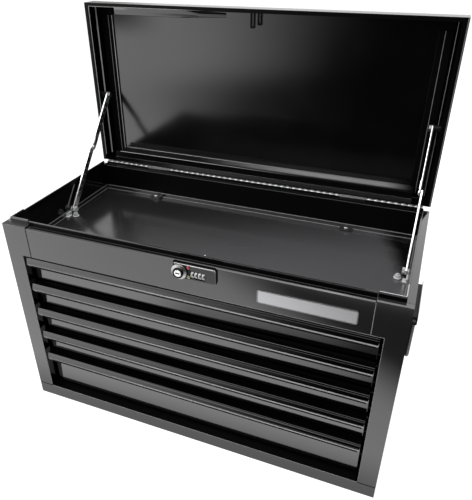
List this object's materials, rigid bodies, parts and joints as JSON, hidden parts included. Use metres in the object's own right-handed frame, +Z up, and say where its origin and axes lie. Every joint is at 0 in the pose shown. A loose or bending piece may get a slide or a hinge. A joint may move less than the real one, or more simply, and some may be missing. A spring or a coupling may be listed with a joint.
{
  "type": "tool chest",
  "caption": "Wide steel top tool chest with a lift-up lid over an open tray, shallow sliding drawers with folded pulls, a front combination lock and side drop handles.",
  "frame": {"origin": "middle of the base, on the surface that the chest stands on", "axes": "+X to the right seen from the front, +Y to the back, +Z up; the drawers open towards -Y"},
  "size_m": [0.682, 0.3531, 0.6888],
  "materials": {
    "black_paint": "gloss",
    "zinc_steel": "satin",
    "handle_black": "satin",
    "black_plastic": "gloss",
    "lock_chrome": "polished",
    "dial_chrome": "polished",
    "red_enamel": "gloss",
    "green_enamel": "gloss",
    "badge_metal": "satin"
  },
  "bodies": {
    "carcass": {"side_panel_left": "black_paint", "side_panel_right": "black_paint", "back_panel": "black_paint", "base_pan": "black_paint", "stile_left": "black_paint", "stile_right": "black_paint", "top_rail": "black_paint", "bottom_rail": "black_paint", "tray_walls": "black_paint", "tray_floor": "black_paint", "tray_pads": "black_plastic", "tray_bolts": "zinc_steel", "runner_rack_left": "zinc_steel", "runner_rack_right": "zinc_steel", "lock_plate": "black_plastic", "lock_case": "zinc_steel", "red_dot": "red_enamel", "green_dot": "green_enamel", "badge_plate": "badge_metal", "handle_bracket_left": "black_paint", "handle_bracket_right": "black_paint", "handle_screws": "zinc_steel", "hinge_body_leaf": "black_paint", "hinge_pin": "zinc_steel", "hinge_sleeves": "black_plastic", "stay_studs_body": "zinc_steel"},
    "lid": {"lid_shell": "black_paint", "lid_stiffeners": "black_paint", "lid_hook": "zinc_steel", "hinge_lid_leaf": "black_paint", "stay_studs_lid": "zinc_steel"},
    "lock_knob": {"lock_knob": "lock_chrome", "lock_cam": "zinc_steel"},
    "key_cylinder": {"key_cylinder": "lock_chrome"},
    "drawer_1": {"drawer_front_1": "black_paint", "drawer_box_1": "black_paint", "drawer_runner_1": "zinc_steel"},
    "drawer_2": {"drawer_front_2": "black_paint", "drawer_box_2": "black_paint", "drawer_runner_2": "zinc_steel"},
    "drawer_3": {"drawer_front_3": "black_paint", "drawer_box_3": "black_paint", "drawer_runner_3": "zinc_steel"},
    "drawer_4": {"drawer_front_4": "black_paint", "drawer_box_4": "black_paint", "drawer_runner_4": "zinc_steel"},
    "drawer_5": {"drawer_front_5": "black_paint", "drawer_box_5": "black_paint", "drawer_runner_5": "zinc_steel"},
    "dial_1": {"dial_1": "dial_chrome"},
    "dial_2": {"dial_2": "dial_chrome"},
    "dial_3": {"dial_3": "dial_chrome"},
    "dial_4": {"dial_4": "dial_chrome"},
    "handle_left": {"handle_bail_left": "handle_black"},
    "stay_lower_left": {"stay_lower_left": "zinc_steel"},
    "stay_upper_left": {"stay_upper_left": "zinc_steel"},
    "handle_right": {"handle_bail_right": "handle_black"},
    "stay_lower_right": {"stay_lower_right": "zinc_steel"},
    "stay_upper_right": {"stay_upper_right": "zinc_steel"}
  },
  "joints": [
    {"name": "lid_hinge", "type": "hinge", "parent": "carcass", "child": "lid", "pos_m": [0, 0.156, 0.3828], "axis": [1, 0, 0], "range_deg": [0, 90]},
    {"name": "drawer_1_slide", "type": "slide", "parent": "carcass", "child": "drawer_1", "axis": [0, -1, 0], "range_m": [0, 0.19]},
    {"name": "drawer_2_slide", "type": "slide", "parent": "carcass", "child": "drawer_2", "axis": [0, -1, 0], "range_m": [0, 0.19]},
    {"name": "drawer_3_slide", "type": "slide", "parent": "carcass", "child": "drawer_3", "axis": [0, -1, 0], "range_m": [0, 0.19]},
    {"name": "drawer_4_slide", "type": "slide", "parent": "carcass", "child": "drawer_4", "axis": [0, -1, 0], "range_m": [0, 0.19]},
    {"name": "drawer_5_slide", "type": "slide", "parent": "carcass", "child": "drawer_5", "axis": [0, -1, 0], "range_m": [0, 0.19]},
    {"name": "handle_left_swing", "type": "hinge", "parent": "carcass", "child": "handle_left", "pos_m": [-0.3365, 0, 0.29], "axis": [0, 1, 0], "range_deg": [0, 90]},
    {"name": "handle_right_swing", "type": "hinge", "parent": "carcass", "child": "handle_right", "pos_m": [0.3365, 0, 0.29], "axis": [0, -1, 0], "range_deg": [0, 90]},
    {"name": "knob_turn", "type": "hinge", "parent": "carcass", "child": "lock_knob", "pos_m": [0, -0.1525, 0.367], "axis": [0, 1, 0], "range_deg": [0, 90]},
    {"name": "key_turn", "type": "hinge", "parent": "lock_knob", "child": "key_cylinder", "pos_m": [0, -0.1525, 0.367], "axis": [0, 1, 0], "range_deg": [0, 90]},
    {"name": "dial_1_turn", "type": "hinge", "parent": "carcass", "child": "dial_1", "pos_m": [0.0206, -0.151, 0.364], "axis": [1, 0, 0], "continuous": true},
    {"name": "dial_2_turn", "type": "hinge", "parent": "carcass", "child": "dial_2", "pos_m": [0.0265, -0.151, 0.364], "axis": [1, 0, 0], "continuous": true},
    {"name": "dial_3_turn", "type": "hinge", "parent": "carcass", "child": "dial_3", "pos_m": [0.0324, -0.151, 0.364], "axis": [1, 0, 0], "continuous": true},
    {"name": "dial_4_turn", "type": "hinge", "parent": "carcass", "child": "dial_4", "pos_m": [0.0383, -0.151, 0.364], "axis": [1, 0, 0], "continuous": true},
    {"name": "stay_lower_left_turn", "type": "hinge", "parent": "carcass", "child": "stay_lower_left", "pos_m": [-0.31125, 0.0135, 0.337], "axis": [1, 0, 0], "range_deg": [-23, 0]},
    {"name": "stay_upper_left_turn", "type": "hinge", "parent": "lid", "child": "stay_upper_left", "pos_m": [-0.30845, 0.1705, 0.52], "axis": [1, 0, 0], "range_deg": [0, 39.32]},
    {"name": "stay_lower_right_turn", "type": "hinge", "parent": "carcass", "child": "stay_lower_right", "pos_m": [0.31125, 0.0135, 0.337], "axis": [1, 0, 0], "range_deg": [-23, 0]},
    {"name": "stay_upper_right_turn", "type": "hinge", "parent": "lid", "child": "stay_upper_right", "pos_m": [0.30845, 0.1705, 0.52], "axis": [1, 0, 0], "range_deg": [0, 39.32]}
  ],
  "couplings": [
    {"joint": "stay_lower_left_turn", "follows": "lid_hinge", "ratio": -0.25544},
    {"joint": "stay_upper_left_turn", "follows": "lid_hinge", "ratio": 0.43681},
    {"joint": "stay_lower_right_turn", "follows": "lid_hinge", "ratio": -0.25544},
    {"joint": "stay_upper_right_turn", "follows": "lid_hinge", "ratio": 0.43681}
  ]
}
